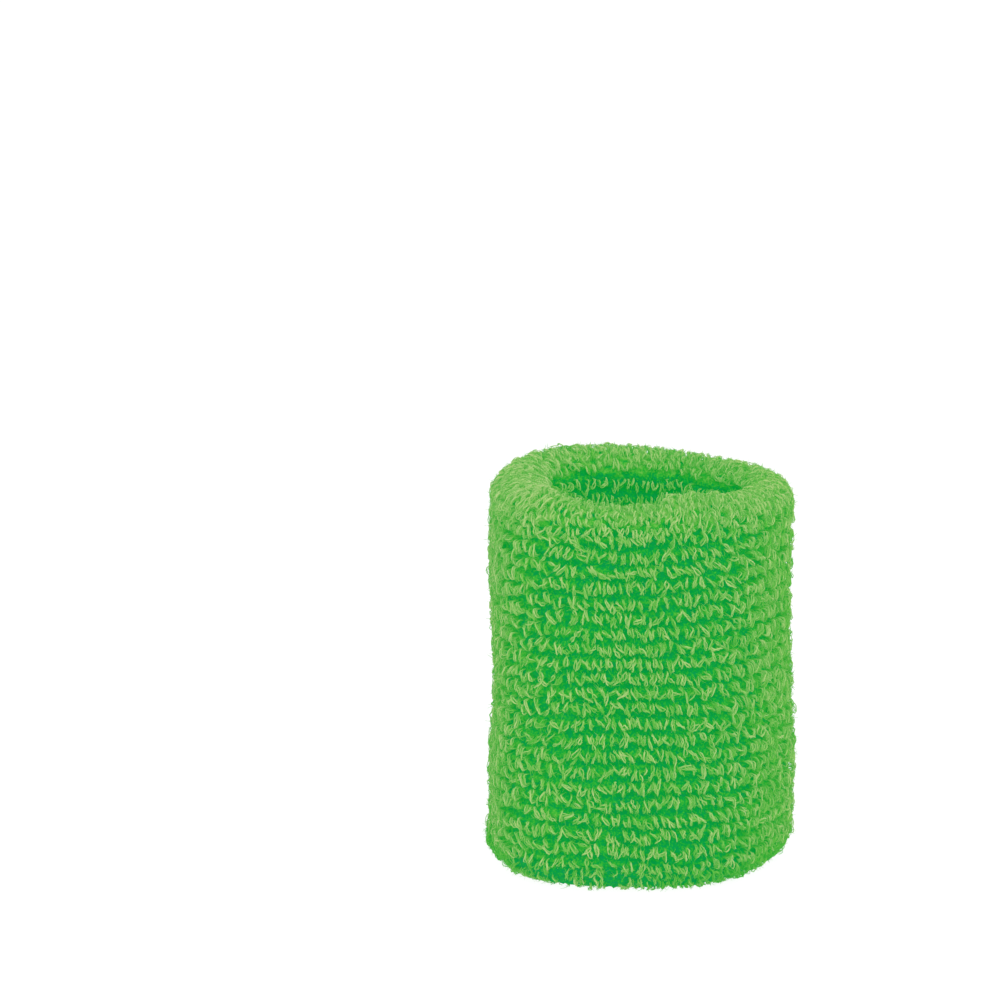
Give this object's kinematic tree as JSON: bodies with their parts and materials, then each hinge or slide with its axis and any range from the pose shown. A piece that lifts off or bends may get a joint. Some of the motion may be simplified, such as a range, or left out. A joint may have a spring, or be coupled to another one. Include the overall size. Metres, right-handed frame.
{
  "type": "sweat wristband",
  "caption": "Terry-knit elastic wristband tube, folded double, worn on the wrist in racket sports to soak up sweat; stands on its rim.",
  "frame": {"origin": "middle of the lower rim, on the plane that the band stands on", "axes": "+Z along the band's own axis, from the rim it stands on to the other; X and Y are any two radial directions, and the band is round about Z"},
  "size_m": [0.058, 0.058, 0.075],
  "materials": {
    "terry_pile": "looped cotton terry, matt and fuzzy",
    "ground_knit": "plain knit, matt",
    "elastic_thread": "wrapped elastic, matt",
    "seam_thread": "spun polyester, slight sheen"
  },
  "bodies": {
    "root": {"outer_wall_pile": "terry_pile", "top_rim_pile": "terry_pile", "bottom_rim_pile": "terry_pile", "inner_wall_pile_upper": "terry_pile", "inner_wall_pile_lower": "terry_pile", "ground_knit": "ground_knit", "closing_seam_needle_thread": "seam_thread", "closing_seam_upper_looper": "seam_thread", "closing_seam_lower_looper": "seam_thread", "elastic_thread_outer_01": "elastic_thread", "elastic_thread_outer_02": "elastic_thread", "elastic_thread_outer_03": "elastic_thread", "elastic_thread_outer_04": "elastic_thread", "elastic_thread_outer_05": "elastic_thread", "elastic_thread_outer_06": "elastic_thread", "elastic_thread_outer_07": "elastic_thread", "elastic_thread_outer_08": "elastic_thread", "elastic_thread_outer_09": "elastic_thread", "elastic_thread_outer_10": "elastic_thread", "elastic_thread_inner_01": "elastic_thread", "elastic_thread_inner_02": "elastic_thread", "elastic_thread_inner_03": "elastic_thread", "elastic_thread_inner_04": "elastic_thread", "elastic_thread_inner_05": "elastic_thread", "elastic_thread_inner_06": "elastic_thread", "elastic_thread_inner_07": "elastic_thread", "elastic_thread_inner_08": "elastic_thread", "elastic_thread_inner_09": "elastic_thread", "elastic_thread_inner_10": "elastic_thread"}
  },
  "joints": []
}
